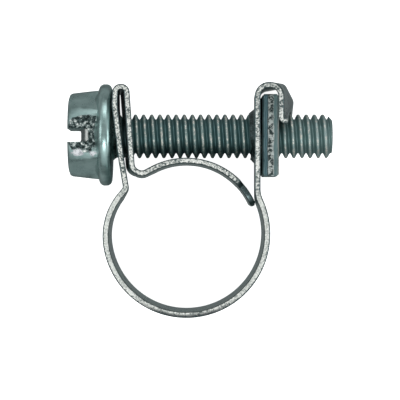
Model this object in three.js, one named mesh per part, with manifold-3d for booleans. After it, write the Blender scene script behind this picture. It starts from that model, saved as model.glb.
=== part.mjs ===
// A nut-and-bolt hose clamp for small hoses. One steel strip is bent round the hose. Its left end is
// folded into a double ear that the screw's head pulls on, and runs on under the screw as a tongue that
// bridges the gap. Its right end is a single ear, hooked over a square nut. Turning the screw draws the
// nut to the head.
//
// Millimetres. The clamp lies flat: the hose runs along Z, through the origin, and the strip's lower edge
// is at Z = 0. The screw lies along X, beside the ring, with its head towards -X.
import * as THREE from "three";
import { mergeVertices } from "three/addons/utils/BufferGeometryUtils.js";
import Module from "manifold-3d";

// Strip. Its upper and lower edges differ a little where the ears lean over.
const STRIP_WIDTH = 9;
const STRIP_THICKNESS = 0.5;
const RING_RADIUS = 6.83; // to the middle of the strip's thickness, as are all the strip's radii
const RING_END = { upper: 24, lower: 20 }; // degrees above +X at which the ring turns into the right ear
const SHOULDER_START = 188; // from here to its end the ring is bent a little tighter
const SHOULDER_RADIUS = 5.4;
const SHOULDER_END = 143;
const TONGUE_RADIUS = 6.18;
const TONGUE_TIP = 22.5;
const TONGUE_STEP = 43.3; // from here to its tip the tongue is narrower
const TONGUE_TIP_WIDTH = 6.2;
const TONGUE_ROOT = 118;
const TIP_CUT_PAST = 4; // degrees past the tip to which the cut beside it runs
const TIP_CUT_MARGIN = 0.05; // the same cut reaches this far past the tongue's faces, short of the ring

// Left ear: corners of the strip's centre line, before the bends are rounded
const TONGUE_FOOT = { upper: [-3.74, 5.0], lower: [-3.9, 5.0] };
const INNER_LEG_FOOT = { upper: [-4.57, 5.45], lower: [-5.08, 5.45] };
const FOLD_RIGHT = { upper: [-5.05, 12.4], lower: [-5.6, 12.4] };
const FOLD_LEFT = { upper: [-5.97, 12.4], lower: [-6.13, 12.4] };
const OUTER_LEG_KNEE = { upper: [-6.05, 10.9], lower: [-6.1, 10.9] };
const OUTER_LEG_BOW = { upper: [-5.45, 6.1], lower: [-5.7, 6.1] };
const OUTER_LEG_FOOT = { upper: [-5.07, 3.85], lower: [-5.3, 3.85] };
const FOLD_BEND = { upper: 0.45, lower: 0.26 };
const KNEE_BEND = 3;
const BOW_BEND = 6;
const FOOT_BEND = 0.5;
const TONGUE_FOOT_BEND = 0.8;

// Right ear. The hook over the nut is a wider, sharper loop at its lower edge than at its upper one.
const RIGHT_LEG_X = { upper: 6.0, lower: 6.2 };
const LEG_BEND = 2.2;
const HOOK_LEFT_Y = 12.56;
const HOOK_RIGHT = { upper: [7.99, 12.56], lower: [8.5, 12.98] };
const HOOK_LIP = { upper: [7.98, 9.5], lower: [9.22, 11.6] };
const HOOK_END = { upper: [8.52, 9.53], lower: [8.98, 9.42] };
const HOOK_LEFT_BEND = 0.96;
const HOOK_RIGHT_BEND = { upper: 0.96, lower: 0.35 };
const LIP_BEND = { upper: 0.36, lower: 0.5 };

// Screw: M4, with a slotted hexagon head on a flange. The head sits a little off the shank's axis.
const SCREW_Y = 8.37;
const SCREW_Z = STRIP_WIDTH / 2;
const HEAD_Y = SCREW_Y + 0.12;
const PITCH = 0.7;
const CREST_RADIUS = 1.89;
const ROOT_RADIUS = 1.46;
const CREST_FLAT = PITCH / 8;
const FLANK_SLOPE = Math.tan(Math.PI / 6);
const FIRST_CREST_X = -5.79; // where the thread's first crest crosses the side away from the ring
const SCREW_TIP = 12.53;
const TIP_RADIUS = 1.4;
const TIP_CHAMFER = 0.45;
const FLANGE_FACE = -6.39;
const FLANGE_THICKNESS = 1.1;
const FLANGE_RADIUS = 4.37;
const FLANGE_ROUND = 0.46;
const UNDERHEAD_FILLET = 0.45;
const UNDERHEAD_RADIUS = 2.15;
const SHANK_RADIUS = 1.83;
const SHANK_SINK = 0.3; // the shank runs this far into the flange
const OUTSIDE_CRESTS = CREST_RADIUS + 0.05;
const RUN_IN = 0.3; // the thread opens from the neck's radius to its own over this length
const RIDGE_SINK = 0.12; // the ridge's section runs this far below its root, so that it joins the core
const HEX_FLATS = 6.8;
const HEX_END = -10.12;
const HEX_END_RADIUS = 3.0;
const HEX_END_ROUND = 0.2;
const HEX_CORNER_RADIUS = { end: 3.58, flange: 3.84 }; // the corners are rounded off to these radii
const HEX_FOOT = 0.32; // the hexagon flares out to the flange over this length
const HEX_FOOT_RADIUS = 4.0;
const SLOT_WIDTH = 1.12;
const SLOT_DEPTH = 1.05; // at the middle of the head; the floor falls away towards the flats
const SLOT_DEPTH_AT_FLATS = 1.8;

// Nut
const NUT_FLATS = 6.95;
const NUT_LEFT = 6.455;
const NUT_THICKNESS = 1.38;
const NUT_CORNER_RADIUS = 4.75; // the square's corners are rounded off to this radius
const NUT_MINOR_RADIUS = 1.61;
const NUT_MAJOR_RADIUS = CREST_RADIUS + 0.1;
const THREAD_CLEARANCE = 0.07;

// Holes in the strip, and the X between which each is punched. The one in the right ear is pierced towards
// the left ear and keeps the torn-out rim.
const LEFT_HOLE_RADIUS = 2.17;
const LEFT_HOLE_X = [-6.8, -3.9];
const RIM_HOLE_RADIUS = CREST_RADIUS + 0.045;
const RIM_HOLE_X = [4.5, 7];
const HOOK_NOTCH_RADIUS = 2.15;
const HOOK_NOTCH_X = [7.5, 10];
const RIM_FOOT_RADIUS = 2.38;
const RIM_TIP_RADIUS = 2.0;
const RIM_HEIGHT = 0.42;

const BEYOND = 0.5; // cutters and other tools run this far past what they shape
const ROUND_SEGMENTS = 36;
const THREAD_SEGMENTS = 12;

const zincBand = new THREE.MeshStandardMaterial({ color: 0xb9bdb6, roughness: 0.34, metalness: 1 });
const zincScrew = new THREE.MeshStandardMaterial({ color: 0x8fa3a2, roughness: 0.38, metalness: 1 });
const zincNut = new THREE.MeshStandardMaterial({ color: 0x8a9e9e, roughness: 0.45, metalness: 1 });

const wasm = await Module();
wasm.setup();

// ---- three.js geometry to solids, and back ----

function solid(geometry) {
  const bare = new THREE.BufferGeometry();
  bare.setAttribute("position", geometry.getAttribute("position"));
  bare.setIndex(geometry.index);
  const merged = mergeVertices(bare, 1e-5);
  const mesh = new wasm.Mesh({
    numProp: 3,
    vertProperties: merged.attributes.position.array,
    triVerts: new Uint32Array(merged.index.array),
  });
  return new wasm.Manifold(mesh);
}

function namedMesh(name, manifold, material) {
  const { vertProperties, triVerts } = manifold.getMesh();
  const geometry = new THREE.BufferGeometry();
  geometry.setAttribute("position", new THREE.BufferAttribute(vertProperties, 3));
  geometry.setIndex(new THREE.BufferAttribute(triVerts, 1));
  geometry.computeVertexNormals();
  const mesh = new THREE.Mesh(geometry, material);
  mesh.name = name;
  return mesh;
}

function indexedGeometry(positions, index) {
  const geometry = new THREE.BufferGeometry();
  geometry.setAttribute("position", new THREE.Float32BufferAttribute(positions, 3));
  geometry.setIndex(index);
  return geometry;
}

// A solid of revolution about the screw's axis, from a profile of [x, radius] points that runs towards +X.
// It is closed by a point on the axis at each end.
function turned(profile, segments = ROUND_SEGMENTS, axisY = SCREW_Y) {
  const first = profile[0][0];
  const last = profile.at(-1)[0];
  const points = [[first, 0], ...profile, [last, 0]].map(([x, radius]) => new THREE.Vector2(radius, x));
  const lathe = new THREE.LatheGeometry(points, segments).rotateZ(-Math.PI / 2);
  return lathe.translate(0, axisY, SCREW_Z);
}

// ---- Strip ----

function polar(radius, degrees) {
  const angle = THREE.MathUtils.degToRad(degrees);
  return new THREE.Vector2(radius * Math.cos(angle), radius * Math.sin(angle));
}

function arc(centre, radius, from, to, steps) {
  const step = (to - from) / steps;
  return Array.from({ length: steps + 1 }, (_, i) => polar(radius, from + step * i).add(centre));
}

// The corner between two straight runs, rounded to a bend radius.
function bend(before, corner, after, radius, steps) {
  const back = before.clone().sub(corner).normalize();
  const on = after.clone().sub(corner).normalize();
  const half = Math.acos(THREE.MathUtils.clamp(back.dot(on), -1, 1)) / 2;
  const centre = back.clone().add(on).setLength(radius / Math.sin(half)).add(corner);
  const start = back.clone().setLength(radius / Math.tan(half)).add(corner);
  const turn = (Math.PI - 2 * half) * Math.sign(on.cross(back));
  const step = turn / steps;
  return Array.from({ length: steps + 1 }, (_, i) => start.clone().rotateAround(centre, step * i));
}

// The strip's centre line along one of its edges, "upper" or "lower", from the tongue's tip to the
// hook's end.
function centreLine(edge) {
  const point = (corner) => new THREE.Vector2(...corner[edge]);
  const tongue = arc(new THREE.Vector2(), TONGUE_RADIUS, TONGUE_TIP, TONGUE_ROOT, 24);
  const tongueFoot = point(TONGUE_FOOT);
  const innerFoot = point(INNER_LEG_FOOT);
  const foldRight = point(FOLD_RIGHT);
  const foldLeft = point(FOLD_LEFT);
  const knee = point(OUTER_LEG_KNEE);
  const bow = point(OUTER_LEG_BOW);
  const outerFoot = point(OUTER_LEG_FOOT);

  // The shoulder's arc meets the ring's without a kink.
  const shoulderCentre = polar(RING_RADIUS - SHOULDER_RADIUS, SHOULDER_START);
  const shoulder = arc(shoulderCentre, SHOULDER_RADIUS, SHOULDER_END, SHOULDER_START, 9);
  const ring = arc(new THREE.Vector2(), RING_RADIUS, SHOULDER_START, 360 + RING_END[edge], 46).slice(1);

  // The ring runs on along its tangent until it meets the line of the right ear's leg.
  const ringEnd = ring.at(-1);
  const tangent = polar(1, RING_END[edge] + 90);
  const legFoot = tangent.multiplyScalar((RIGHT_LEG_X[edge] - ringEnd.x) / tangent.x).add(ringEnd);
  const hookLeft = new THREE.Vector2(RIGHT_LEG_X[edge], HOOK_LEFT_Y);
  const hookRight = point(HOOK_RIGHT);
  const lip = point(HOOK_LIP);
  const end = point(HOOK_END);

  return [
    ...tongue,
    ...bend(tongue.at(-1), tongueFoot, innerFoot, TONGUE_FOOT_BEND, 4),
    ...bend(tongueFoot, innerFoot, foldRight, TONGUE_FOOT_BEND, 5),
    ...bend(innerFoot, foldRight, foldLeft, FOLD_BEND[edge], 6),
    ...bend(foldRight, foldLeft, knee, FOLD_BEND[edge], 6),
    ...bend(foldLeft, knee, bow, KNEE_BEND, 2),
    ...bend(knee, bow, outerFoot, BOW_BEND, 1),
    ...bend(bow, outerFoot, shoulder[0], FOOT_BEND, 5),
    ...shoulder,
    ...ring,
    ...bend(ringEnd, legFoot, hookLeft, LEG_BEND, 5),
    ...bend(legFoot, hookLeft, hookRight, HOOK_LEFT_BEND, 7),
    ...bend(hookLeft, hookRight, lip, HOOK_RIGHT_BEND[edge], 7),
    ...bend(hookRight, lip, end, LIP_BEND[edge], 5),
    end,
  ];
}

// Half the strip's thickness, as a vector square to a centre line at each of its points.
function halfThicknesses(line) {
  return line.map((_, i) => {
    const from = line[Math.max(i - 1, 0)];
    const to = line[Math.min(i + 1, line.length - 1)];
    const along = to.clone().sub(from).setLength(STRIP_THICKNESS / 2);
    return new THREE.Vector2(-along.y, along.x);
  });
}

// The whole strip, before its holes: a rectangle of metal at each point along the two centre lines.
function stripGeometry() {
  const upper = centreLine("upper");
  const lower = centreLine("lower");
  const upperHalf = halfThicknesses(upper);
  const lowerHalf = halfThicknesses(lower);
  const steps = upper.length;
  const positions = [];
  for (let i = 0; i < steps; i++) {
    const corners = [
      [upper[i].clone().sub(upperHalf[i]), STRIP_WIDTH],
      [lower[i].clone().sub(lowerHalf[i]), 0],
      [lower[i].clone().add(lowerHalf[i]), 0],
      [upper[i].clone().add(upperHalf[i]), STRIP_WIDTH],
    ];
    for (const [p, z] of corners) positions.push(p.x, p.y, z);
  }
  const index = [0, 2, 1, 0, 3, 2];
  for (let i = 0; i < steps - 1; i++) {
    for (let k = 0; k < 4; k++) {
      const a = 4 * i + k;
      const b = 4 * i + ((k + 1) % 4);
      index.push(a, b, a + 4, b, b + 4, a + 4);
    }
  }
  const last = 4 * (steps - 1);
  index.push(last, last + 1, last + 2, last, last + 2, last + 3);
  return indexedGeometry(positions, index);
}

// What is cut away beside the tongue's tip to make it narrow, from height z up.
function tongueCutter(z) {
  const inner = TONGUE_RADIUS - STRIP_THICKNESS / 2 - TIP_CUT_MARGIN;
  const outer = TONGUE_RADIUS + STRIP_THICKNESS / 2 + TIP_CUT_MARGIN;
  const from = THREE.MathUtils.degToRad(TONGUE_TIP - TIP_CUT_PAST);
  const to = THREE.MathUtils.degToRad(TONGUE_STEP);
  const sector = new THREE.Shape();
  sector.absarc(0, 0, outer, from, to, false);
  sector.absarc(0, 0, inner, to, from, true);
  sector.closePath();
  const depth = STRIP_WIDTH / 2;
  const cutter = new THREE.ExtrudeGeometry(sector, { depth, bevelEnabled: false, curveSegments: 6 });
  return cutter.translate(0, 0, z);
}

function rightEarRim() {
  const middle = (RIGHT_LEG_X.upper + RIGHT_LEG_X.lower) / 2;
  const leftFace = middle - STRIP_THICKNESS / 2;
  return turned([
    [leftFace - RIM_HEIGHT, RIM_TIP_RADIUS],
    [leftFace, RIM_FOOT_RADIUS],
    [middle, RIM_FOOT_RADIUS],
  ]);
}

// A cylinder along the screw's axis.
function punch(radius, [fromX, toX]) {
  return solid(
    turned([
      [fromX, radius],
      [toX, radius],
    ]),
  );
}

function band() {
  const besideTip = (STRIP_WIDTH - TONGUE_TIP_WIDTH) / 2;
  return solid(stripGeometry())
    .add(solid(rightEarRim()))
    .subtract(punch(LEFT_HOLE_RADIUS, LEFT_HOLE_X))
    .subtract(punch(RIM_HOLE_RADIUS, RIM_HOLE_X))
    .subtract(punch(HOOK_NOTCH_RADIUS, HOOK_NOTCH_X))
    .subtract(solid(tongueCutter(STRIP_WIDTH - besideTip)))
    .subtract(solid(tongueCutter(besideTip - STRIP_WIDTH / 2)));
}

// ---- Screw ----

// A right-handed helical ridge about the screw's axis, from a profile of [x, radius] points. It starts at
// firstX on the side away from the ring, and its turns are one pitch apart.
function helicalRidge(profile, firstX, turns) {
  const positions = [];
  const steps = turns * THREAD_SEGMENTS;
  for (let i = 0; i <= steps; i++) {
    const angle = (2 * Math.PI * i) / THREAD_SEGMENTS;
    for (const [x, radius] of profile) {
      const along = firstX + x + (PITCH * i) / THREAD_SEGMENTS;
      positions.push(along, SCREW_Y + radius * Math.cos(angle), SCREW_Z + radius * Math.sin(angle));
    }
  }
  const sides = profile.length;
  const index = [];
  for (let k = 1; k < sides - 1; k++) index.push(0, k, k + 1);
  for (let i = 0; i < steps; i++) {
    for (let k = 0; k < sides; k++) {
      const a = sides * i + k;
      const b = sides * i + ((k + 1) % sides);
      index.push(a, a + sides, b, b, a + sides, b + sides);
    }
  }
  const last = sides * steps;
  for (let k = 1; k < sides - 1; k++) index.push(last, last + k + 1, last + k);
  return indexedGeometry(positions, index);
}

// The section of a ridge. slack widens it on each side.
function ridgeProfile(rootRadius, crestRadius, slack) {
  const foot = rootRadius - RIDGE_SINK;
  const crestHalf = CREST_FLAT / 2 + (CREST_RADIUS - crestRadius) * FLANK_SLOPE + slack;
  const footHalf = crestHalf + (crestRadius - foot) * FLANK_SLOPE;
  return [
    [-footHalf, foot],
    [-crestHalf, crestRadius],
    [crestHalf, crestRadius],
    [footHalf, foot],
  ];
}

// Everything inside the thread's ends: the plain neck, then the crests' radius, then the tip's chamfer.
function threadEnvelope() {
  return turned([
    [FLANGE_FACE - SHANK_SINK, SHANK_RADIUS],
    [FIRST_CREST_X, SHANK_RADIUS],
    [FIRST_CREST_X + RUN_IN, OUTSIDE_CRESTS],
    [SCREW_TIP - TIP_CHAMFER, OUTSIDE_CRESTS],
    [SCREW_TIP, TIP_RADIUS],
  ]);
}

function threadedShank() {
  const turns = Math.ceil((SCREW_TIP - FIRST_CREST_X) / PITCH) + 1;
  const core = turned(
    [
      [FLANGE_FACE - SHANK_SINK, ROOT_RADIUS],
      [SCREW_TIP + BEYOND, ROOT_RADIUS],
    ],
    THREAD_SEGMENTS,
  );
  const ridge = helicalRidge(ridgeProfile(ROOT_RADIUS, CREST_RADIUS, 0), FIRST_CREST_X, turns);
  return solid(core).add(solid(ridge)).intersect(solid(threadEnvelope()));
}

// The neck under the flange flares out to it in a hollow fillet.
function underheadFillet() {
  const steps = 4;
  const profile = Array.from({ length: steps + 1 }, (_, i) => {
    const angle = (Math.PI / 2) * (i / steps);
    const x = FLANGE_FACE + UNDERHEAD_FILLET * Math.sin(angle);
    return [x, SHANK_RADIUS + (UNDERHEAD_RADIUS - SHANK_RADIUS) * (1 - Math.sin(angle)) * Math.cos(angle)];
  });
  return turned([[FLANGE_FACE - SHANK_SINK, UNDERHEAD_RADIUS], ...profile]);
}

function flange() {
  const left = FLANGE_FACE - FLANGE_THICKNESS;
  const rim = FLANGE_RADIUS - FLANGE_ROUND;
  const rounded = (centreX, from, to) =>
    arc(new THREE.Vector2(centreX, rim), FLANGE_ROUND, from, to, 4).map((p) => [p.x, p.y]);
  const profile = [
    [left - HEX_FOOT, HEX_FLATS / 2],
    [left, HEX_FOOT_RADIUS],
    ...rounded(left + FLANGE_ROUND, 165, 90),
    ...rounded(FLANGE_FACE - FLANGE_ROUND, 90, 0),
  ];
  return turned(profile, ROUND_SEGMENTS, HEAD_Y);
}

// A prism with a flat facing +Z, cut to a turned outline so that its corners and its end are rounded off.
function hexagonHead() {
  const right = FLANGE_FACE - FLANGE_THICKNESS / 2;
  const across = HEX_FLATS / Math.cos(Math.PI / 6) / 2;
  const prism = new THREE.CylinderGeometry(across, across, right - HEX_END, 6);
  prism.rotateZ(Math.PI / 2).translate((HEX_END + right) / 2, HEAD_Y, SCREW_Z);
  const outline = [
    [HEX_END, HEX_END_RADIUS],
    [HEX_END + HEX_END_ROUND / 3, (HEX_END_RADIUS + HEX_CORNER_RADIUS.end) / 2],
    [HEX_END + HEX_END_ROUND, HEX_CORNER_RADIUS.end],
    [right, HEX_CORNER_RADIUS.flange],
  ];
  return solid(prism).intersect(solid(turned(outline, ROUND_SEGMENTS, HEAD_Y)));
}

// The slot runs across the head along Z, with an arched floor.
function slotCutter() {
  const reach = HEX_FLATS / 2;
  const sag = SLOT_DEPTH_AT_FLATS - SLOT_DEPTH;
  const radius = (reach * reach + sag * sag) / (2 * sag);
  const beyond = reach + BEYOND;
  const steps = 12;
  const section = new THREE.Shape([new THREE.Vector2(HEX_END - BEYOND, -beyond)]);
  for (let i = 0; i <= steps; i++) {
    const z = -beyond + (2 * beyond * i) / steps;
    section.lineTo(HEX_END + SLOT_DEPTH + radius - Math.sqrt(radius * radius - z * z), z);
  }
  section.lineTo(HEX_END - BEYOND, beyond);
  const cutter = new THREE.ExtrudeGeometry(section, { depth: SLOT_WIDTH, bevelEnabled: false });
  return cutter.translate(0, 0, -SLOT_WIDTH / 2).rotateX(Math.PI / 2).translate(0, SCREW_Y, SCREW_Z);
}

function screw() {
  return solid(flange())
    .add(hexagonHead())
    .subtract(solid(slotCutter()))
    .add(solid(underheadFillet()))
    .add(threadedShank());
}

// ---- Nut ----

// The nut's thread is the screw's own, with room all round it.
function tap() {
  const core = turned(
    [
      [NUT_LEFT - BEYOND, NUT_MINOR_RADIUS],
      [NUT_LEFT + NUT_THICKNESS + BEYOND, NUT_MINOR_RADIUS],
    ],
    THREAD_SEGMENTS,
  );
  const profile = ridgeProfile(NUT_MINOR_RADIUS, NUT_MAJOR_RADIUS, THREAD_CLEARANCE);
  const firstX = FIRST_CREST_X + PITCH * Math.floor((NUT_LEFT - BEYOND - FIRST_CREST_X) / PITCH);
  const turns = Math.ceil((NUT_THICKNESS + 2 * BEYOND) / PITCH) + 1;
  return solid(core).add(solid(helicalRidge(profile, firstX, turns)));
}

function nut() {
  const centreX = NUT_LEFT + NUT_THICKNESS / 2;
  const block = new THREE.BoxGeometry(NUT_THICKNESS, NUT_FLATS, NUT_FLATS);
  block.translate(centreX, SCREW_Y, SCREW_Z);
  return solid(block)
    .intersect(punch(NUT_CORNER_RADIUS, [NUT_LEFT - BEYOND, NUT_LEFT + NUT_THICKNESS + BEYOND]))
    .subtract(tap());
}

const hoseClamp = new THREE.Group();
hoseClamp.add(namedMesh("band", band(), zincBand));
hoseClamp.add(namedMesh("screw", screw(), zincScrew));
hoseClamp.add(namedMesh("nut", nut(), zincNut));

export default hoseClamp;
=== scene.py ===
import math
import bmesh
import bpy
from mathutils import Matrix, Vector, noise


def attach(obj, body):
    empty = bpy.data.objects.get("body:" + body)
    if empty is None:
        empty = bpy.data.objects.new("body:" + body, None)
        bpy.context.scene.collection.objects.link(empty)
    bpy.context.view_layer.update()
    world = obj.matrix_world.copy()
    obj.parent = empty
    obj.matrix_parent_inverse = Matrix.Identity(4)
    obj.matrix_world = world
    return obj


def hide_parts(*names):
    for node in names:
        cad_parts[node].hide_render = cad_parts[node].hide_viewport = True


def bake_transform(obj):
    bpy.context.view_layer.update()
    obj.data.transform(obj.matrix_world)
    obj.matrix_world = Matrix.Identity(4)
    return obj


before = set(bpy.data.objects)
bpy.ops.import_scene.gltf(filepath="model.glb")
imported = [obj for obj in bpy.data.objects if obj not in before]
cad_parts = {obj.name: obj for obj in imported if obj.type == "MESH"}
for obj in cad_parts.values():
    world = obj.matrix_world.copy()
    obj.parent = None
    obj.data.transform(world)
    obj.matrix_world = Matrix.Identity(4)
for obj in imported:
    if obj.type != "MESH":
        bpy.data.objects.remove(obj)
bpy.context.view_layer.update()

# Camera: straight above the clamp as it lies flat, with the screw at the top of the view. A long lens
# from about 20 cm, as for a small piece on a bench.
lens = bpy.data.cameras.new("camera")
lens.lens = 200
lens.sensor_width = 36
lens.shift_x = 0.0267
lens.shift_y = 0.033
lens.clip_start = 0.01
lens.clip_end = 5
camera = bpy.data.objects.new("camera", lens)
camera.location = (0.00025, 0.00175, 0.196)
bpy.context.collection.objects.link(camera)
bpy.context.scene.camera = camera
bpy.context.scene.view_settings.view_transform = "Standard"

# Bench: a plain white top that the clamp lies on, with its strip's lower edge flat on it.
bench_mesh = bpy.data.meshes.new("bench")
bench_mesh.from_pydata([(-2, -2, 0), (2, -2, 0), (2, 2, 0), (-2, 2, 0)], [], [(0, 1, 2, 3)])
bench_paint = bpy.data.materials.new("bench_white")
bench_paint.use_nodes = True
bench_shader = bench_paint.node_tree.nodes["Principled BSDF"]
bench_shader.inputs["Base Color"].default_value = (0.93, 0.93, 0.93, 1)
bench_shader.inputs["Roughness"].default_value = 0.9
bench_shader.inputs["Specular IOR Level"].default_value = 0.1
bench_shader.inputs["Emission Color"].default_value = (1, 1, 1, 1)
bench_shader.inputs["Emission Strength"].default_value = 0.95
bench_mesh.materials.append(bench_paint)
bench = bpy.data.objects.new("bench", bench_mesh)
bench.visible_glossy = False
bpy.context.collection.objects.link(bench)

# Studio: a dim grey room that the smooth faces mirror, in bands from floor to ceiling, and four soft
# panels round the clamp. The strongest stands towards -Y and draws the bright line along the screw.
room = bpy.data.worlds.new("studio")
room.use_nodes = True
nodes = room.node_tree.nodes
links = room.node_tree.links
direction = nodes.new("ShaderNodeTexCoord")
height = nodes.new("ShaderNodeSeparateXYZ")
sky = nodes.new("ShaderNodeValToRGB")
from_below = nodes.new("ShaderNodeMapRange")
from_below.inputs["From Min"].default_value = -1
from_below.inputs["From Max"].default_value = 1
sky.color_ramp.elements[0].position = 0.0
sky.color_ramp.elements[0].color = (0.17, 0.19, 0.19, 1)
sky.color_ramp.elements[1].position = 1.0
sky.color_ramp.elements[1].color = (0.26, 0.29, 0.29, 1)
room_bands = [(0.12, 0.18), (0.26, 0.44), (0.4, 0.3), (0.5, 0.17), (0.6, 0.3), (0.75, 0.75), (0.9, 0.7)]
room_bands.append((0.975, 0.3))
for position, level in room_bands:
    step = sky.color_ramp.elements.new(position)
    step.color = (0.96 * level, level, level, 1)
links.new(direction.outputs["Generated"], height.inputs[0])
links.new(height.outputs["Z"], from_below.inputs["Value"])
links.new(from_below.outputs["Result"], sky.inputs[0])
links.new(sky.outputs[0], nodes["Background"].inputs["Color"])
nodes["Background"].inputs["Strength"].default_value = 1.0
bpy.context.scene.world = room

panels = [
    ("panel_front", (0.00, -0.22, 0.50), 0.12, 0.45),
    ("panel_back", (0.05, 0.45, 0.30), 0.20, 0.30),
    ("panel_left", (-0.45, 0.05, 0.28), 0.20, 0.40),
    ("panel_right", (0.45, -0.05, 0.28), 0.20, 0.40),
]
for name, place, size, power in panels:
    light = bpy.data.lights.new(name, "AREA")
    light.shape = "SQUARE"
    light.size = size
    light.energy = power
    panel = bpy.data.objects.new(name, light)
    panel.location = place
    panel.rotation_euler = Vector(place).to_track_quat("Z", "Y").to_euler()
    bpy.context.collection.objects.link(panel)

# Band: one springy steel strip, blanked with its holes, bent to shape and then zinc plated. From its tip
# it runs as the tongue under the screw, up and over in the left ear, round the hose, up the right ear and
# over the nut in a hook. Its sheared edges are rough and bright, its rolled faces smooth and darker.
strip_width = 9.0  # all the band's sizes are in millimetres
strip_thickness = 0.5
edge_round = 0.14
ring_radius = 6.83
ring_end = {"upper": 24, "lower": 20}
shoulder_start = 188
shoulder_radius = 5.4
shoulder_end = 143
tongue_radius = 6.18
tongue_tip = 22.5
tongue_step = 43.3
tongue_tip_width = 6.2
tongue_root = 118
tongue_foot_bend = 0.8
foot_bend = 0.5
knee_bend = 3
bow_bend = 6
leg_bend = 2.2
hook_left_bend = 0.96
longest_run = 0.3  # straight runs are cut into pieces no longer than this
tip_round = 1.1
tip_thinning = 0.22  # the tip gets its full thickness over this length
step_run = 0.3  # and its step to the full width takes this length
right_leg_x = {"upper": 6.0, "lower": 6.2}
left_hole_radius = 2.17
right_hole_radius = 1.935
notch_radius = 2.15
rim_tip_x = 5.47
rim_tip_radius = 1.99
rim_foot_x = 5.86
rim_foot_radius = 2.38
screw_y = 8.37
screw_z = strip_width / 2


def polar(radius, degrees):
    angle = math.radians(degrees)
    return Vector((radius * math.cos(angle), radius * math.sin(angle)))


def arc(centre, radius, start, end, steps):
    return [centre + polar(radius, start + (end - start) * i / steps) for i in range(steps + 1)]


def bend(before, corner, after, radius, steps):
    """The corner between two straight runs, rounded to a bend radius."""
    back = (before - corner).normalized()
    onward = (after - corner).normalized()
    half = back.angle(onward) / 2
    centre = corner + (back + onward).normalized() * (radius / math.sin(half))
    start = corner + back * (radius / math.tan(half)) - centre
    side = 1 if onward.x * back.y - onward.y * back.x > 0 else -1
    turn = (math.pi - 2 * half) * side
    return [centre + Matrix.Rotation(turn * i / steps, 2) @ start for i in range(steps + 1)]


def centre_line(edge):
    """The middle of the strip's thickness along one of its edges, from the tongue's tip to the hook's end."""
    tongue_foot = Vector({"upper": (-3.74, 5.0), "lower": (-3.9, 5.0)}[edge])
    inner_foot = Vector({"upper": (-4.57, 5.45), "lower": (-5.08, 5.45)}[edge])
    fold_right = Vector({"upper": (-5.05, 12.4), "lower": (-5.6, 12.4)}[edge])
    fold_left = Vector({"upper": (-5.97, 12.4), "lower": (-6.13, 12.4)}[edge])
    fold_bend = {"upper": 0.45, "lower": 0.26}[edge]
    knee = Vector({"upper": (-6.05, 10.9), "lower": (-6.1, 10.9)}[edge])
    bow = Vector({"upper": (-5.45, 6.1), "lower": (-5.7, 6.1)}[edge])
    outer_foot = Vector({"upper": (-5.07, 3.85), "lower": (-5.3, 3.85)}[edge])
    leg_x = right_leg_x[edge]
    hook_left = Vector((leg_x, 12.56))
    hook_right = Vector({"upper": (7.99, 12.56), "lower": (8.5, 12.98)}[edge])
    hook_lip = Vector({"upper": (7.98, 9.5), "lower": (9.22, 11.6)}[edge])
    hook_end = Vector({"upper": (8.52, 9.53), "lower": (8.98, 9.42)}[edge])
    hook_right_bend = {"upper": 0.96, "lower": 0.35}[edge]
    lip_bend = {"upper": 0.36, "lower": 0.5}[edge]

    tongue = arc(Vector((0, 0)), tongue_radius, tongue_tip, tongue_root, 48)
    shoulder_centre = polar(ring_radius - shoulder_radius, shoulder_start)
    shoulder = arc(shoulder_centre, shoulder_radius, shoulder_end, shoulder_start, 18)
    ring = arc(Vector((0, 0)), ring_radius, shoulder_start, 360 + ring_end[edge], 110)[1:]
    tangent = polar(1, ring_end[edge] + 90)
    leg_foot = ring[-1] + tangent * ((leg_x - ring[-1].x) / tangent.x)
    return (
        tongue
        + bend(tongue[-1], tongue_foot, inner_foot, tongue_foot_bend, 8)
        + bend(tongue_foot, inner_foot, fold_right, tongue_foot_bend, 10)
        + bend(inner_foot, fold_right, fold_left, fold_bend, 12)
        + bend(fold_right, fold_left, knee, fold_bend, 12)
        + bend(fold_left, knee, bow, knee_bend, 6)
        + bend(knee, bow, outer_foot, bow_bend, 3)
        + bend(bow, outer_foot, shoulder[0], foot_bend, 10)
        + shoulder
        + ring
        + bend(ring[-1], leg_foot, hook_left, leg_bend, 10)
        + bend(leg_foot, hook_left, hook_right, hook_left_bend, 14)
        + bend(hook_left, hook_right, hook_lip, hook_right_bend, 14)
        + bend(hook_right, hook_lip, hook_end, lip_bend, 10)
        + [hook_end]
    )


def fill_long_runs(upper, lower):
    """Pairs of points, one on each edge, with straight runs cut into pieces no longer than longest_run."""
    fuller = [(upper[0], lower[0])]
    for a, b, c, d in zip(upper, upper[1:], lower, lower[1:]):
        pieces = max(1, math.ceil((b - a).length / longest_run))
        fuller += [(a.lerp(b, k / pieces), c.lerp(d, k / pieces)) for k in range(1, pieces + 1)]
    return fuller


def sideways(line, i):
    """The direction across the strip's thickness at one point of a line."""
    along = line[min(i + 1, len(line) - 1)] - line[max(i - 1, 0)]
    return Vector((-along.y, along.x)).normalized()


def strip_section(width_from, width_to):
    """The strip's outline in a cut square to its length, as (across its thickness, across its width)."""
    half = strip_thickness / 2
    corners = [(-1, width_from, 180), (1, width_from, 270), (1, width_to, 0), (-1, width_to, 90)]
    section = []
    for side, z, start in corners:
        inward = 1 if z == width_from else -1
        centre = Vector((side * (half - edge_round), z + inward * edge_round))
        section += arc(centre, edge_round, start, start + 90, 4)
    across = 10
    face = [k / across for k in range(1, across)]
    lower_left = section[0:5]
    lower_right = section[5:10]
    upper_right = section[10:15]
    upper_left = section[15:20]
    right_face = [lower_right[-1].lerp(upper_right[0], f) for f in face]
    left_face = [upper_left[-1].lerp(lower_left[0], f) for f in face]
    return lower_left + lower_right + right_face + upper_right + upper_left + left_face


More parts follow.
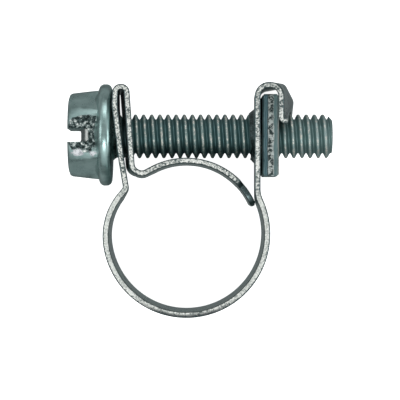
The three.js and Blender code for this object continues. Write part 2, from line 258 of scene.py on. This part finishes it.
stations = fill_long_runs(centre_line("upper"), centre_line("lower"))
upper_line = [pair[0] for pair in stations]
lower_line = [pair[1] for pair in stations]
run = 0.0
band_form = bmesh.new()
loops = []
step_length = math.radians(tongue_step - tongue_tip) * tongue_radius
for i in range(len(stations)):
    if i:
        run += (upper_line[i] - upper_line[i - 1]).length
    # The tongue's tip is narrower than the strip, with an end rounded over its width and its thickness.
    narrowing = min(1, max(0, (step_length - run) / step_run + 0.5))
    set_back = (strip_width - tongue_tip_width) / 2 * narrowing
    if run < tip_round:
        set_back += tip_round - math.sqrt(tip_round ** 2 - (tip_round - run) ** 2)
    thinned = min(1, 0.45 + 0.55 * run / tip_thinning)
    loop = []
    for t, z in strip_section(set_back, strip_width - set_back):
        share = z / strip_width
        middle_point = lower_line[i].lerp(upper_line[i], share)
        normal = sideways(lower_line, i).lerp(sideways(upper_line, i), share).normalized()
        x, y = middle_point + normal * t * thinned
        loop.append(band_form.verts.new((x, y, z)))
    loops.append(loop)
around = len(loops[0])
for a, b in zip(loops, loops[1:]):
    for k in range(around):
        band_form.faces.new((a[k], a[(k + 1) % around], b[(k + 1) % around], b[k]))
# The strip's ends are twisted a little, so each is closed with narrow faces from one side to the other. The
# numbers are those of strip_section's points.
left_side = [4, 3, 2, 1, 0] + list(range(37, 23, -1))
right_side = list(range(5, 24))
for loop in (loops[0], loops[-1]):
    for a, b, c, d in zip(left_side, right_side, right_side[1:], left_side[1:]):
        band_form.faces.new((loop[a], loop[b], loop[c], loop[d]))
bmesh.ops.recalc_face_normals(band_form, faces=band_form.faces)
band_mesh = bpy.data.meshes.new("band_strip")
band_form.to_mesh(band_mesh)
band_form.free()
band = bpy.data.objects.new("band_strip", band_mesh)
bpy.context.collection.objects.link(band)


def turned(name, profile, segments, axis_y=screw_y):
    """A closed solid of revolution about the screw's axis, from (x, radius) points. x may depend on angle."""
    form = bmesh.new()
    rings = []
    for x, radius in profile:
        ring_of_points = []
        for k in range(segments):
            angle = 2 * math.pi * k / segments
            px = x(angle) if callable(x) else x
            place = (px, axis_y + radius * math.cos(angle), screw_z + radius * math.sin(angle))
            ring_of_points.append(form.verts.new(place))
        rings.append(ring_of_points)
    for a, b in zip(rings, rings[1:]):
        for k in range(segments):
            form.faces.new((a[k], a[(k + 1) % segments], b[(k + 1) % segments], b[k]))
    form.faces.new(reversed(rings[0]))
    form.faces.new(rings[-1])
    bmesh.ops.recalc_face_normals(form, faces=form.faces)
    mesh = bpy.data.meshes.new(name)
    form.to_mesh(mesh)
    form.free()
    solid = bpy.data.objects.new(name, mesh)
    bpy.context.collection.objects.link(solid)
    return solid


def combine(body, other, operation):
    """Cuts other from body, joins it on, or keeps what they share, and takes other away."""
    step = body.modifiers.new(operation.lower(), "BOOLEAN")
    step.operation = operation
    step.solver = "EXACT"
    step.object = other
    evaluated = body.evaluated_get(bpy.context.evaluated_depsgraph_get())
    result = bpy.data.meshes.new_from_object(evaluated)
    body.modifiers.remove(step)
    body.data = result
    bpy.data.objects.remove(other)


# The punch that made the right ear's hole tore it through towards -X, and left a ragged tapering rim.
def torn_edge(angle):
    raggedness = noise.noise(Vector((math.cos(angle), math.sin(angle), 0.3)) * 4)
    return rim_tip_x - 0.07 * math.cos(angle) - 0.12 * raggedness


rim_profile = [(torn_edge, rim_tip_radius), (rim_foot_x, rim_foot_radius), (6.1, rim_foot_radius)]
rim = turned("rim", rim_profile, 96)
left_hole = turned("left_hole", [(-6.9, left_hole_radius), (-4.0, left_hole_radius)], 96)
right_hole = turned("right_hole", [(4.5, right_hole_radius), (7.2, right_hole_radius)], 96)
hook_notch = turned("hook_notch", [(7.6, notch_radius), (10.0, notch_radius)], 96)
combine(band, rim, "UNION")
combine(band, left_hole, "DIFFERENCE")
combine(band, right_hole, "DIFFERENCE")
combine(band, hook_notch, "DIFFERENCE")


class Paint:
    """A metal material, with short ways to add nodes. Inputs are numbers, colours or nodes' outputs."""

    def __init__(self, name):
        self.material = bpy.data.materials.new(name)
        self.material.use_nodes = True
        self.nodes = self.material.node_tree.nodes
        self.links = self.material.node_tree.links
        self.shader = self.nodes["Principled BSDF"]
        self.shader.inputs["Metallic"].default_value = 1.0
        self.place = self.nodes.new("ShaderNodeTexCoord")
        self.spot = self.split(self.place.outputs["Object"])
        self.facing = self.split(self.place.outputs["Normal"])

    def plug(self, value, socket):
        if isinstance(value, bpy.types.NodeSocket):
            self.links.new(value, socket)
        else:
            socket.default_value = value if isinstance(value, (int, float)) else (*value, 1)

    def split(self, vector):
        parts = self.nodes.new("ShaderNodeSeparateXYZ")
        self.links.new(vector, parts.inputs[0])
        return parts.outputs

    def noise(self, scale, detail, roughness):
        cloud = self.nodes.new("ShaderNodeTexNoise")
        cloud.inputs["Scale"].default_value = scale
        cloud.inputs["Detail"].default_value = detail
        cloud.inputs["Roughness"].default_value = roughness
        self.links.new(self.place.outputs["Object"], cloud.inputs["Vector"])
        return cloud.outputs["Fac"]

    def math(self, operation, a, b=0.0):
        sum_node = self.nodes.new("ShaderNodeMath")
        sum_node.operation = operation
        self.plug(a, sum_node.inputs[0])
        self.plug(b, sum_node.inputs[1])
        return sum_node.outputs[0]

    def fade(self, value, start, end, low=0.0, high=1.0):
        ranged = self.nodes.new("ShaderNodeMapRange")
        self.plug(value, ranged.inputs["Value"])
        ranged.inputs["From Min"].default_value = start
        ranged.inputs["From Max"].default_value = end
        ranged.inputs["To Min"].default_value = low
        ranged.inputs["To Max"].default_value = high
        return ranged.outputs["Result"]

    def ramp(self, value, stops):
        colours = self.nodes.new("ShaderNodeValToRGB")
        steps = colours.color_ramp.elements
        while len(steps) < len(stops):
            steps.new(0.5)
        for step, (position, colour) in zip(steps, stops):
            step.position = position
            step.color = (*colour, 1)
        self.links.new(value, colours.inputs["Fac"])
        return colours.outputs["Color"]

    def mix(self, share, a, b):
        blend = self.nodes.new("ShaderNodeMix")
        blend.data_type = "RGBA"
        self.plug(share, blend.inputs[0])
        self.plug(a, blend.inputs[6])
        self.plug(b, blend.inputs[7])
        return blend.outputs[2]

    def bump(self, height, strength, distance, under=None):
        relief = self.nodes.new("ShaderNodeBump")
        relief.inputs["Strength"].default_value = strength
        relief.inputs["Distance"].default_value = distance
        self.links.new(height, relief.inputs["Height"])
        if under:
            self.links.new(under, relief.inputs["Normal"])
        return relief.outputs["Normal"]

    def both(self, a, b):
        """The product of two masks."""
        return self.math("MULTIPLY", a, b)

    def distance(self, x_part, y_part):
        x_square = self.math("MULTIPLY", x_part, x_part)
        y_square = self.math("MULTIPLY", y_part, y_part)
        return self.math("SQRT", self.math("ADD", x_square, y_square))

    def finish(self, colour, roughness, normal):
        self.plug(colour, self.shader.inputs["Base Color"])
        self.plug(roughness, self.shader.inputs["Roughness"])
        self.plug(normal, self.shader.inputs["Normal"])
        return self.material


def finish_mesh(piece, material, crease):
    """Millimetres to metres, smooth shading broken at creases, and the material."""
    mesh = piece.data
    mesh.transform(Matrix.Scale(0.001, 4))
    mesh.shade_smooth()
    mesh.set_sharp_from_angle(angle=math.radians(crease))
    mesh.materials.clear()
    mesh.materials.append(material)


# The strip's zinc, in metres: cloudy dark teal on the rolled faces. On its sheared edges the middle is
# rough and bright, with painted shade as a dark line along either side, where the corner rounds over.
paint = Paint("band_zinc")
clouds = paint.noise(900, 6, 0.65)
sheet = paint.ramp(clouds, [(0.35, (0.33, 0.41, 0.41)), (0.68, (0.49, 0.57, 0.56))])
upright = paint.math("ABSOLUTE", paint.facing["Z"])
fine_tears = paint.math("MULTIPLY", paint.noise(6000, 5, 0.72), 0.75)
broad_tears = paint.math("MULTIPLY", paint.noise(1500, 2, 0.5), 0.25)
tears = paint.math("ADD", fine_tears, broad_tears)
sheared = paint.ramp(
    tears,
    [
        (0.39, (0.04, 0.06, 0.06)),
        (0.46, (0.30, 0.34, 0.33)),
        (0.51, (0.78, 0.80, 0.76)),
        (0.56, (1.0, 1.0, 0.96)),
    ],
)
# Painted shade: a dark line on the rounded corners beside each sheared edge. On the ring's inside the bright
# edge colour is spread over it.
corner_shade_line = paint.both(paint.fade(upright, 0.1, 0.35), paint.fade(tears, 0.35, 0.6, 1.0, 0.8))
off_z = paint.math("SUBTRACT", paint.spot["Z"], 0.001 * screw_z)
at_edge = paint.fade(paint.math("ABSOLUTE", off_z), 0.0042, 0.0043)
raggedness = paint.math("MULTIPLY", paint.math("SUBTRACT", tears, 0.46), 0.5)
from_middle = paint.distance(paint.spot["X"], paint.spot["Y"])
on_ring = paint.fade(paint.spot["Y"], 0.005, 0.0025)
ring_inside = paint.both(on_ring, paint.fade(from_middle, 0.0069, 0.0067))
reach_over = paint.math("ADD", raggedness, paint.math("MULTIPLY", ring_inside, 0.18))
torn_off = paint.both(at_edge, paint.fade(paint.math("ADD", upright, reach_over), 0.93, 1.0))
right_of_rim_tip = paint.math("GREATER_THAN", paint.spot["X"], 0.005)
left_of_ear = paint.math("LESS_THAN", paint.spot["X"], 0.00573)
off_y = paint.math("SUBTRACT", paint.spot["Y"], 0.001 * screw_y)
from_screw = paint.distance(off_y, off_z)
on_rim = paint.both(paint.both(right_of_rim_tip, left_of_ear), paint.math("LESS_THAN", from_screw, 0.0025))
calm = paint.both(on_ring, paint.fade(paint.spot["Y"], -0.0045, -0.0062, 0.6, 0.15))
sheared = paint.mix(calm, sheared, (0.86, 0.88, 0.84))
# Painted shade: the outer corner of the ring's sheared edge turns dark towards the ring's bottom.
at_bottom = paint.fade(paint.spot["Y"], -0.0052, -0.0066, 0.0, 0.9)
bottom_corner_shade = paint.both(at_bottom, paint.fade(from_middle, 0.00672, 0.00690))
sheared = paint.mix(bottom_corner_shade, sheared, (0.05, 0.06, 0.065))
colour = paint.mix(corner_shade_line, sheet, (0.09, 0.13, 0.135))
colour = paint.mix(torn_off, colour, sheared)
rough_places = paint.math("MULTIPLY", torn_off, 0.2)
roughness = paint.math("ADD", paint.fade(clouds, 0.3, 0.7, 0.22, 0.42), rough_places)
colour = paint.mix(paint.both(on_rim, paint.fade(tears, 0.4, 0.6, 0.9, 0.3)), colour, (0.03, 0.04, 0.04))
grain = paint.bump(paint.noise(9000, 3, 0.5), 0.25, 0.00002)
torn_relief = paint.both(tears, paint.math("MAXIMUM", torn_off, on_rim))
relief = paint.bump(torn_relief, 0.8, 0.00007, under=grain)
band_zinc = paint.finish(colour, roughness, relief)
finish_mesh(band, band_zinc, 38)
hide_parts("band")
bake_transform(band)

# Screw: an M4 steel screw, cold headed with a slotted hexagon on a flange. Its thread is rolled, so the
# crests are rounded, and its zinc is a little blue-green. It passes through both ears and the nut.
pitch = 0.7  # all the screw's sizes are in millimetres
crest_radius = 1.89
root_radius = 1.46
first_crest_x = -5.79
tip_radius = 1.4
tip_chamfer = 0.45
neck_radius = 1.83
underhead_radius = 2.15
underhead_fillet = 0.45
screw_tip = 12.53
flange_face = -6.39
flange_thickness = 1.1
flange_radius = 4.37
hex_flats = 6.8
hex_end = -10.12
head_y = screw_y + 0.12  # the head sits a little off the shank


def thread_tree():
    """Nodes that make a right-hand threaded rod about the screw's axis, closed at both ends."""
    tree = bpy.data.node_groups.new("threaded rod", "GeometryNodeTree")
    tree.interface.new_socket("Geometry", in_out="OUTPUT", socket_type="NodeSocketGeometry")
    radii = ("Root Radius", "Crest Radius", "Tip Radius")
    lengths = ("Pitch", "First Crest", "Start", "End", "Chamfer", "Slack")
    for name in radii + lengths:
        tree.interface.new_socket(name, in_out="INPUT", socket_type="NodeSocketFloat")
    tree.interface.new_socket("Turns", in_out="INPUT", socket_type="NodeSocketInt")
    tree.interface.new_socket("Material", in_out="INPUT", socket_type="NodeSocketMaterial")
    nodes = tree.nodes
    links = tree.links
    given = nodes.new("NodeGroupInput").outputs
    result = nodes.new("NodeGroupOutput")

    def math_step(operation, a, b=0.0):
        node = nodes.new("ShaderNodeMath")
        node.operation = operation
        for socket, value in zip(node.inputs, (a, b)):
            if isinstance(value, (int, float)):
                socket.default_value = value
            else:
                links.new(value, socket)
        return node.outputs[0]

    def product(a, b):
        return math_step("MULTIPLY", a, b)

    def total(a, b):
        return math_step("ADD", a, b)

    def less(a, b):
        return math_step("SUBTRACT", a, b)

    def smaller(a, b):
        return math_step("MINIMUM", a, b)

    rows_per_turn = 20
    grid = nodes.new("GeometryNodeMeshGrid")
    grid.inputs["Size X"].default_value = 1
    grid.inputs["Size Y"].default_value = 1
    grid.inputs["Vertices X"].default_value = 73
    links.new(total(product(given["Turns"], rows_per_turn), 1), grid.inputs["Vertices Y"])
    around_and_along = nodes.new("ShaderNodeSeparateXYZ")
    links.new(grid.outputs["UV Map"], around_and_along.inputs[0])
    u = around_and_along.outputs["X"]
    turns_along = product(around_and_along.outputs["Y"], given["Turns"])

    # Each row follows the helix: it moves on by one pitch as it goes once round. The first one lies a few
    # turns before the first crest.
    early_turns = 2.5
    from_first = less(total(turns_along, u), early_turns)
    x = total(product(from_first, given["Pitch"]), given["First Crest"])
    off_crest = product(math_step("ABSOLUTE", less(math_step("FRACT", turns_along), 0.5)), 2)
    depth = less(given["Crest Radius"], given["Root Radius"])
    crest_half = total(0.14, given["Slack"])
    fall = nodes.new("ShaderNodeMapRange")
    fall.interpolation_type = "SMOOTHSTEP"
    links.new(off_crest, fall.inputs["Value"])
    links.new(crest_half, fall.inputs["From Min"])
    fall.inputs["From Max"].default_value = 0.98
    ridge = less(given["Crest Radius"], product(depth, fall.outputs["Result"]))

    # Past each end the radius shrinks to nothing while x stands still, which makes the flat end face.
    chamfer_slope = math_step("DIVIDE", less(given["Crest Radius"], given["Tip Radius"]), given["Chamfer"])
    to_tip = less(given["End"], x)
    chamfer_limit = total(given["Tip Radius"], product(to_tip, chamfer_slope))
    end_limit = total(given["Tip Radius"], product(to_tip, 2))
    start_limit = total(given["Crest Radius"], product(less(x, given["Start"]), 3))
    radius = smaller(smaller(smaller(ridge, chamfer_limit), end_limit), start_limit)
    radius = math_step("MAXIMUM", radius, 0)
    x = smaller(math_step("MAXIMUM", x, given["Start"]), given["End"])

    angle = product(u, 2 * math.pi)
    place = nodes.new("ShaderNodeCombineXYZ")
    links.new(x, place.inputs["X"])
    links.new(total(product(radius, math_step("COSINE", angle)), screw_y), place.inputs["Y"])
    links.new(total(product(radius, math_step("SINE", angle)), screw_z), place.inputs["Z"])
    shape = nodes.new("GeometryNodeSetPosition")
    links.new(grid.outputs["Mesh"], shape.inputs["Geometry"])
    links.new(place.outputs[0], shape.inputs["Position"])
    weld = nodes.new("GeometryNodeMergeByDistance")
    weld.inputs["Distance"].default_value = 0.0008
    realize = nodes.new("GeometryNodeRealizeInstances")
    paint = nodes.new("GeometryNodeSetMaterial")
    links.new(shape.outputs[0], weld.inputs["Geometry"])
    links.new(weld.outputs[0], realize.inputs[0])
    links.new(realize.outputs[0], paint.inputs["Geometry"])
    links.new(given["Material"], paint.inputs["Material"])
    links.new(paint.outputs[0], result.inputs["Geometry"])
    return tree


thread_nodes = thread_tree()


def threaded_rod(name, material, sizes):
    """A rod from the thread nodes, as a plain mesh object with its faces outwards."""
    rod = bpy.data.objects.new(name, bpy.data.meshes.new(name))
    bpy.context.collection.objects.link(rod)
    thread = rod.modifiers.new("thread", "NODES")
    thread.node_group = thread_nodes
    values = {**sizes, "Pitch": pitch, "Material": material}
    for socket in thread_nodes.interface.items_tree:
        if socket.in_out == "INPUT":
            thread[socket.identifier] = values[socket.name]
    evaluated = rod.evaluated_get(bpy.context.evaluated_depsgraph_get())
    rod_mesh = bpy.data.meshes.new_from_object(evaluated)
    rod.modifiers.remove(thread)
    form = bmesh.new()
    form.from_mesh(rod_mesh)
    bmesh.ops.recalc_face_normals(form, faces=form.faces)
    form.to_mesh(rod_mesh)
    form.free()
    rod.data = rod_mesh
    return rod


# The screw's zinc, in metres: teal in the valleys of the thread and worn warm grey on its crests, with
# painted shade that darkens the shank between the ears and lightens towards the tip. On the head the faces
# are cloudy, and round the slot's ends they are dark and pitted from the punch, with a few bare white flakes.
paint = Paint("screw_zinc")
clouds = paint.noise(900, 6, 0.65)
pits = paint.noise(3200, 6, 0.75)
plate = paint.ramp(clouds, [(0.35, (0.28, 0.41, 0.40)), (0.68, (0.48, 0.64, 0.625))])
off_y = paint.math("SUBTRACT", paint.spot["Y"], 0.001 * screw_y)
off_z = paint.math("SUBTRACT", paint.spot["Z"], 0.001 * screw_z)
from_axis = paint.distance(off_y, off_z)
past_head = paint.math("GREATER_THAN", paint.spot["X"], -0.006)
on_shank = paint.both(past_head, paint.math("LESS_THAN", paint.facing["X"], 0.95))
pit_relief = paint.math("SUBTRACT", pits, 0.5)
ragged = paint.math("MULTIPLY", pit_relief, 0.00025)
crest = paint.both(on_shank, paint.fade(paint.math("ADD", from_axis, ragged), 0.00187, 0.00190))
valley = paint.both(on_shank, paint.fade(from_axis, 0.00188, 0.00170))
# Painted shade: the shank and the thread's valleys are darker between the ears and lighter towards the tip.
towards_tip = paint.fade(paint.spot["X"], 0.0062, 0.0105)
shank_plate_and_shade = paint.mix(towards_tip, (0.26, 0.37, 0.36), (0.38, 0.50, 0.49))
valley_plate_and_shade = paint.mix(towards_tip, (0.17, 0.28, 0.285), (0.28, 0.39, 0.385))
colour = paint.mix(valley, paint.mix(on_shank, plate, shank_plate_and_shade), valley_plate_and_shade)
rubbed = paint.ramp(pits, [(0.42, (0.26, 0.32, 0.31)), (0.60, (0.72, 0.71, 0.65))])
colour = paint.mix(crest, colour, rubbed)
from_slot = paint.distance(
    paint.math("DIVIDE", paint.math("ADD", paint.spot["X"], 0.0096), 0.0023),
    paint.math("DIVIDE", off_y, 0.0020),
)
slot_end_flat = paint.math("GREATER_THAN", paint.math("ABSOLUTE", paint.facing["Z"]), 0.9)
on_hexagon = paint.math("LESS_THAN", paint.spot["X"], -0.0072)
spread = paint.math("MULTIPLY", paint.math("SUBTRACT", clouds, 0.5), 1.6)
near_slot = paint.fade(paint.math("ADD", from_slot, spread), 1.26, 1.05)
punched = paint.both(paint.both(on_hexagon, slot_end_flat), near_slot)
pitted = paint.ramp(
    pits,
    [
        (0.44, (0.02, 0.03, 0.03)),
        (0.52, (0.10, 0.14, 0.14)),
        (0.58, (0.46, 0.53, 0.51)),
        (0.64, (0.95, 0.96, 0.94)),
    ],
)
colour = paint.mix(punched, colour, pitted)
# Painted light in the slot: near its ends the floor is dark with painted shade and has a white painted
# highlight where it meets the facet. There the zinc is made nearly non-metallic.
between_walls = paint.math("LESS_THAN", paint.math("ABSOLUTE", off_y), 0.00058)
in_slot = paint.both(between_walls, paint.math("LESS_THAN", paint.facing["X"], -0.45))
slot_floor_light_mask = paint.both(in_slot, paint.math("GREATER_THAN", paint.spot["X"], -0.0095))
slot_floor_light_mask = paint.both(slot_floor_light_mask, paint.math("LESS_THAN", paint.spot["X"], -0.0081))
slot_shade_and_highlight = paint.ramp(
    paint.fade(paint.math("ADD", paint.spot["X"], ragged), -0.0091, -0.0083),
    [
        (0.0, (0.05, 0.07, 0.07)),
        (0.55, (0.08, 0.10, 0.10)),
        (0.75, (0.95, 0.95, 0.92)),
        (1.0, (0.5, 0.52, 0.5)),
    ],
)
colour = paint.mix(slot_floor_light_mask, colour, slot_shade_and_highlight)
near_flake = paint.distance(
    paint.math("DIVIDE", paint.math("ADD", paint.spot["X"], 0.0092), 0.0005),
    paint.math("DIVIDE", paint.math("SUBTRACT", paint.spot["Y"], 0.0069), 0.0003),
)
far_flake = paint.distance(
    paint.math("DIVIDE", paint.math("ADD", paint.spot["X"], 0.0079), 0.0003),
    paint.math("DIVIDE", paint.math("SUBTRACT", paint.spot["Y"], 0.0068), 0.0002),
)
flake_raggedness = paint.math("MULTIPLY", pit_relief, 3.0)
to_flake = paint.math("ADD", paint.math("MINIMUM", near_flake, far_flake), flake_raggedness)
faces_up = paint.both(on_hexagon, paint.math("GREATER_THAN", paint.facing["Z"], 0.7))
flakes = paint.both(faces_up, paint.fade(to_flake, 1.05, 0.9))
bare = paint.ramp(pits, [(0.4, (0.35, 0.37, 0.40)), (0.55, (0.88, 0.89, 0.92))])
colour = paint.mix(flakes, colour, bare)
rough_places = paint.math("MULTIPLY", paint.math("MAXIMUM", punched, on_shank), 0.2)
roughness = paint.math("ADD", paint.fade(clouds, 0.3, 0.7, 0.22, 0.42), rough_places)
grain = paint.bump(paint.noise(9000, 3, 0.5), 0.25, 0.00002)
relief = paint.bump(paint.both(pits, punched), 0.8, 0.00006, under=grain)
dull = paint.math("MULTIPLY", paint.math("MAXIMUM", slot_floor_light_mask, flakes), 0.85)
paint.plug(paint.math("SUBTRACT", 1.0, dull), paint.shader.inputs["Metallic"])
screw_zinc = paint.finish(colour, roughness, relief)
spare_turns = 5  # the rod's nodes fold these into its two end faces
screw_thread = {
    "Root Radius": root_radius,
    "Crest Radius": crest_radius,
    "First Crest": first_crest_x,
    "Start": first_crest_x,
    "End": screw_tip,
    "Chamfer": tip_chamfer,
    "Tip Radius": tip_radius,
    "Slack": 0.0,
    "Turns": math.ceil((screw_tip - first_crest_x) / pitch) + spare_turns,
}
thread = threaded_rod("thread", screw_zinc, screw_thread)

head_left = flange_face - flange_thickness
rim_round = 0.46
rim_centre = flange_radius - rim_round
rim_left = arc(Vector((head_left + rim_round, rim_centre)), rim_round, 165, 90, 8)
rim_right = arc(Vector((flange_face - rim_round, rim_centre)), rim_round, 90, 0, 8)
flange_profile = [(head_left - 0.32, hex_flats / 2), (head_left - 0.1, hex_flats / 2 + 0.22)]
flange_profile.append((head_left, 4.0))
flange_profile += [(p.x, p.y) for p in rim_left + rim_right]
flange_profile.append((flange_face, 1.0))
screw = turned("screw_m4", flange_profile, 128, axis_y=head_y)
neck_profile = [(flange_face - 0.3, underhead_radius), (flange_face, underhead_radius)]
for k in range(1, 9):
    a = math.pi / 16 * k
    flare = (underhead_radius - neck_radius) * (1 - math.sin(a)) * math.cos(a)
    neck_profile.append((flange_face + underhead_fillet * math.sin(a), neck_radius + flare))
neck_profile += [(first_crest_x + 0.15, neck_radius), (first_crest_x + 0.35, root_radius + 0.01)]
combine(screw, turned("neck", neck_profile, 128), "UNION")
hex_corner = hex_flats / math.sqrt(3)
hexagon = turned("hexagon", [(hex_end, hex_corner), (head_left + 0.5, hex_corner)], 6, axis_y=head_y)
hex_profile = [(hex_end - 0.01, 2.95), (hex_end + 0.04, 3.2), (hex_end + 0.15, 3.47), (hex_end + 0.35, 3.58)]
hex_profile += [(-8.9, 3.68), (-8.2, 3.76), (head_left + 0.6, 3.88)]
combine(hexagon, turned("hex_outline", hex_profile, 128, axis_y=head_y), "INTERSECT")

slot_width = 1.12
slot_depth = 1.05
sag = 0.75  # how much deeper the slot is at the flats than in the middle
floor_round = 0.3
reach = hex_flats / 2
slot_radius = (reach ** 2 + sag ** 2) / (2 * sag)
half_length = 4.2  # of the tool that cuts the slot, from the head's middle
slot_form = bmesh.new()
slot_slices = []
for k in range(13):
    y = math.sin(math.pi * (k / 12 - 0.5)) * slot_width / 2
    past_flat = max(0, abs(y) - (slot_width / 2 - floor_round))
    floor = hex_end + slot_depth - floor_round + math.sqrt(floor_round ** 2 - past_flat ** 2)
    outline = [(hex_end - 1, -half_length)]
    for m in range(33):
        z = half_length * (m / 16 - 1)
        outline.append((floor + slot_radius - math.sqrt(slot_radius ** 2 - z ** 2), z))
    outline.append((hex_end - 1, half_length))
    slot_slices.append([slot_form.verts.new((x, screw_y + y, screw_z + z)) for x, z in outline])
for slice_a, slice_b in zip(slot_slices, slot_slices[1:]):
    for m in range(len(slice_a)):
        following = (m + 1) % len(slice_a)
        slot_form.faces.new((slice_a[m], slice_a[following], slice_b[following], slice_b[m]))
slot_form.faces.new(reversed(slot_slices[0]))
slot_form.faces.new(slot_slices[-1])
bmesh.ops.recalc_face_normals(slot_form, faces=slot_form.faces)
slot_mesh = bpy.data.meshes.new("slot")
slot_form.to_mesh(slot_mesh)
slot_form.free()
slot = bpy.data.objects.new("slot", slot_mesh)
bpy.context.collection.objects.link(slot)
combine(hexagon, slot, "DIFFERENCE")
combine(screw, hexagon, "UNION")
combine(screw, thread, "UNION")
finish_mesh(screw, screw_zinc, 35)
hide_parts("screw")
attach(screw, "screw")

# Nut: a square M4 nut, sheared from steel plate, tapped and zinc plated. It is caught between the right ear
# and its hook, which keep it from turning.
nut_flats = 6.95  # all the nut's sizes are in millimetres
nut_left = 6.455
nut_thickness = 1.38
nut_minor_radius = 1.61
nut_bevel = 0.12
nut_form = bmesh.new()
bmesh.ops.create_cube(nut_form, size=1)
bmesh.ops.scale(nut_form, vec=(nut_thickness, nut_flats, nut_flats), verts=nut_form.verts)
bmesh.ops.translate(nut_form, vec=(nut_left + nut_thickness / 2, screw_y, screw_z), verts=nut_form.verts)
bmesh.ops.bevel(nut_form, geom=nut_form.edges, offset=nut_bevel, segments=3, affect="EDGES")
nut_mesh = bpy.data.meshes.new("square_nut")
nut_form.to_mesh(nut_mesh)
nut_form.free()
nut = bpy.data.objects.new("square_nut", nut_mesh)
bpy.context.collection.objects.link(nut)

# The nut's zinc, in metres. The face that looks up shows how the plate was sheared: a smooth band at the -X
# side painted dark as painted shade on its rounded rollover, with lighter streaks of painted highlight; a
# line where the metal gave way, painted near black as painted shadow in its groove; and a rough pale band.
paint = Paint("nut_zinc")
clouds = paint.noise(900, 6, 0.65)
tears = paint.noise(3200, 5, 0.72)
plate = paint.ramp(clouds, [(0.35, (0.22, 0.31, 0.32)), (0.68, (0.46, 0.56, 0.56))])
wander = paint.math("MULTIPLY", paint.math("SUBTRACT", clouds, 0.5), 0.00035)
wavy_x = paint.math("ADD", paint.spot["X"], wander)
depth_in = paint.fade(wavy_x, 0.001 * nut_left, 0.001 * (nut_left + nut_thickness))
# Across the thickness: painted shade on the rollover, two lighter streaks of painted highlight, a near-black
# line of painted shadow, the rough pale band, then teal and warm grey.
bands = paint.ramp(
    depth_in,
    [
        (0.06, (0.07, 0.12, 0.13)),
        (0.13, (0.22, 0.36, 0.40)),
        (0.19, (0.08, 0.15, 0.17)),
        (0.25, (0.19, 0.32, 0.36)),
        (0.31, (0.04, 0.07, 0.08)),
        (0.36, (0.66, 0.70, 0.68)),
        (0.66, (0.58, 0.63, 0.61)),
        (0.73, (0.18, 0.28, 0.29)),
        (0.90, (0.26, 0.36, 0.36)),
        (0.97, (0.40, 0.41, 0.38)),
    ],
)
on_shear = paint.math("GREATER_THAN", paint.math("ABSOLUTE", paint.facing["Z"]), 0.8)
colour = paint.mix(on_shear, plate, bands)
across = paint.ramp(depth_in, [(0.31, (0, 0, 0)), (0.36, (1, 1, 1)), (0.64, (1, 1, 1)), (0.72, (0, 0, 0))])
rough_band = paint.both(on_shear, across)
colour = paint.mix(paint.both(rough_band, paint.fade(tears, 0.55, 0.46)), colour, (0.05, 0.07, 0.07))
rough_places = paint.math("MULTIPLY", rough_band, 0.2)
roughness = paint.math("ADD", paint.fade(clouds, 0.3, 0.7, 0.26, 0.46), rough_places)
grain = paint.bump(paint.noise(9000, 3, 0.5), 0.25, 0.00002)
relief = paint.bump(paint.both(tears, rough_band), 0.8, 0.00006, under=grain)
nut_zinc = paint.finish(colour, roughness, relief)
tap_start = first_crest_x + 16 * pitch  # in step with the screw's thread, a little before the nut
nut_thread = {
    "Root Radius": nut_minor_radius,
    "Crest Radius": crest_radius + 0.08,
    "First Crest": tap_start,
    "Start": tap_start,
    "End": 9.0,
    "Chamfer": 0.1,
    "Tip Radius": 1.9,
    "Slack": 0.08,
    "Turns": 10,
}
combine(nut, threaded_rod("tap", nut_zinc, nut_thread), "DIFFERENCE")
finish_mesh(nut, nut_zinc, 35)
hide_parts("nut")
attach(nut, "nut")
